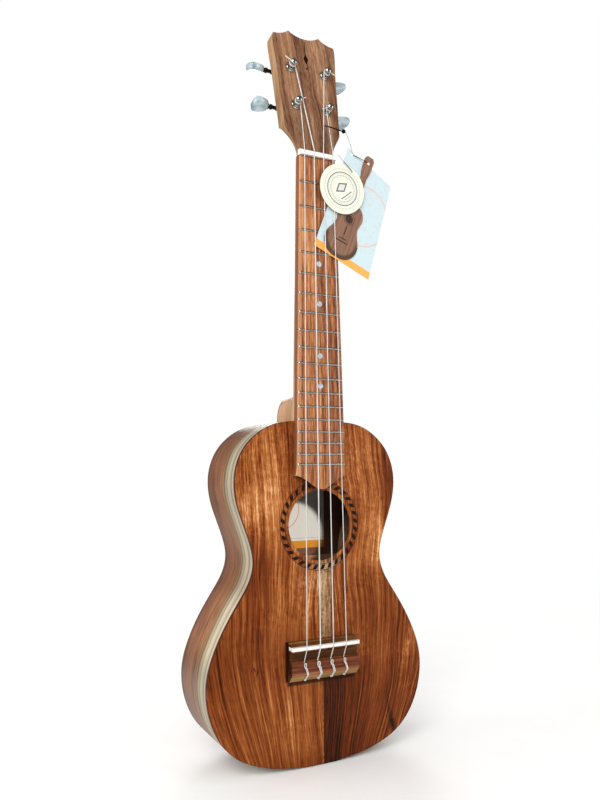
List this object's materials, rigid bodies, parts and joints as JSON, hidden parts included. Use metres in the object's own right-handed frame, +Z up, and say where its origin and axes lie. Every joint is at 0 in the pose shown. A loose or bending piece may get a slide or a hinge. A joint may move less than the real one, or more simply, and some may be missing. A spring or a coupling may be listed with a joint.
{
  "type": "tenor ukulele",
  "caption": "Flat-backed tenor ukulele with a figure-eight body, round soundhole, tie bridge, tapered fretted neck, slightly tilted head and geared tuners, with its paper and wood hang tags.",
  "frame": {"origin": "bottom centre of the whole object's bounding box: the tail end of the body at Z 0, the body's centre plane at X 0, midway in Y between the saddle's string crests and the back", "axes": "+Z up the neck from the tail to the head, -Y out of the soundboard towards the player's audience, +Y out of the back, +X to the right seen from the front"},
  "size_m": [0.215, 0.0792, 0.6718],
  "materials": {
    "top_wood": "satin lacquered acacia, bookmatched",
    "side_wood": "satin lacquered acacia with a cream sapwood band",
    "pale_wood": "unfinished spruce and basswood",
    "neck_wood": "satin lacquered light brown hardwood",
    "veneer_wood": "satin lacquered acacia",
    "fretboard_wood": "oiled brown hardwood",
    "bridge_wood": "oiled brown hardwood",
    "rosette_pale": "pale veneer",
    "rosette_dark": "black dyed veneer",
    "label_paper": null,
    "pearl": "imitation pearl",
    "bone": "white, polished",
    "fret_metal": "nickel silver, polished",
    "nickel": "nickel plated",
    "brass_gear": "cut brass",
    "black_metal": "black plated steel",
    "string_polymer": "off-white polymer monofilament",
    "button_pearl": "bluish grey imitation pearl",
    "card": null,
    "tag_wood_mat": "laser cut thin wood",
    "tag_paper": null,
    "cord_black": "twisted black cord"
  },
  "bodies": {
    "body": {"soundboard_left": "top_wood", "soundboard_right": "top_wood", "rosette_band": "rosette_pale", "rosette_inlay": "rosette_dark", "side_left": "side_wood", "side_right": "side_wood", "neck_block": "pale_wood", "tail_block": "pale_wood", "linings": "pale_wood", "bridge_patch": "pale_wood", "top_braces": "pale_wood", "back_braces": "pale_wood", "label": "label_paper", "back_left": "side_wood", "back_right": "side_wood", "neck": "neck_wood", "heel_cap": "veneer_wood", "head_veneer": "veneer_wood", "head_inlay": "rosette_dark", "fretboard": "fretboard_wood", "frets": "fret_metal", "fret_markers": "pearl", "nut": "bone", "saddle": "bone", "bridge": "bridge_wood", "tuner_bushings": "nickel", "tuner_plates": "nickel", "tuner_plate_screws": "nickel", "string_g": "string_polymer", "string_c": "string_polymer", "string_e": "string_polymer", "string_a": "string_polymer", "tag_card": "card", "tag_wood": "tag_wood_mat", "tag_cord": "cord_black"},
    "button_g": {"tuner_worm_g": "black_metal", "tuner_button_g": "button_pearl"},
    "post_g": {"tuner_post_g": "nickel", "tuner_gear_g": "brass_gear", "gear_screw_g": "nickel", "winding_g": "string_polymer"},
    "button_c": {"tuner_worm_c": "black_metal", "tuner_button_c": "button_pearl"},
    "post_c": {"tuner_post_c": "nickel", "tuner_gear_c": "brass_gear", "gear_screw_c": "nickel", "winding_c": "string_polymer"},
    "button_e": {"tuner_worm_e": "black_metal", "tuner_button_e": "button_pearl"},
    "post_e": {"tuner_post_e": "nickel", "tuner_gear_e": "brass_gear", "gear_screw_e": "nickel", "winding_e": "string_polymer"},
    "button_a": {"tuner_worm_a": "black_metal", "tuner_button_a": "button_pearl"},
    "post_a": {"tuner_post_a": "nickel", "tuner_gear_a": "brass_gear", "gear_screw_a": "nickel", "winding_a": "string_polymer"},
    "round_tag": {"tag_round": "tag_paper"}
  },
  "joints": [
    {"name": "button_g_turn", "type": "hinge", "parent": "body", "child": "button_g", "pos_m": [-0.0164, -0.0003, 0.59787], "axis": [1, 0, 0], "continuous": true},
    {"name": "post_g_turn", "type": "hinge", "parent": "body", "child": "post_g", "pos_m": [-0.0164, -0.00162, 0.58998], "axis": [0, -0.9863, 0.165], "continuous": true},
    {"name": "button_c_turn", "type": "hinge", "parent": "body", "child": "button_c", "pos_m": [-0.0182, 0.0061, 0.63614], "axis": [1, 0, 0], "continuous": true},
    {"name": "post_c_turn", "type": "hinge", "parent": "body", "child": "post_c", "pos_m": [-0.0182, 0.00478, 0.62825], "axis": [0, -0.9863, 0.165], "continuous": true},
    {"name": "button_e_turn", "type": "hinge", "parent": "body", "child": "button_e", "pos_m": [0.0182, 0.0061, 0.63614], "axis": [1, 0, 0], "continuous": true},
    {"name": "post_e_turn", "type": "hinge", "parent": "body", "child": "post_e", "pos_m": [0.0182, 0.00478, 0.62825], "axis": [0, -0.9863, 0.165], "continuous": true},
    {"name": "button_a_turn", "type": "hinge", "parent": "body", "child": "button_a", "pos_m": [0.0164, -0.0003, 0.59787], "axis": [1, 0, 0], "continuous": true},
    {"name": "post_a_turn", "type": "hinge", "parent": "body", "child": "post_a", "pos_m": [0.0164, -0.00162, 0.58998], "axis": [0, -0.9863, 0.165], "continuous": true},
    {"name": "round_tag_swing", "type": "hinge", "parent": "body", "child": "round_tag", "pos_m": [0.0335, -0.03682, 0.5328], "axis": [0, 1, 0], "range_deg": [-20, 20]}
  ],
  "couplings": [
    {"joint": "post_g_turn", "follows": "button_g_turn", "ratio": 0.071429},
    {"joint": "post_c_turn", "follows": "button_c_turn", "ratio": 0.071429},
    {"joint": "post_e_turn", "follows": "button_e_turn", "ratio": 0.071429},
    {"joint": "post_a_turn", "follows": "button_a_turn", "ratio": 0.071429}
  ]
}
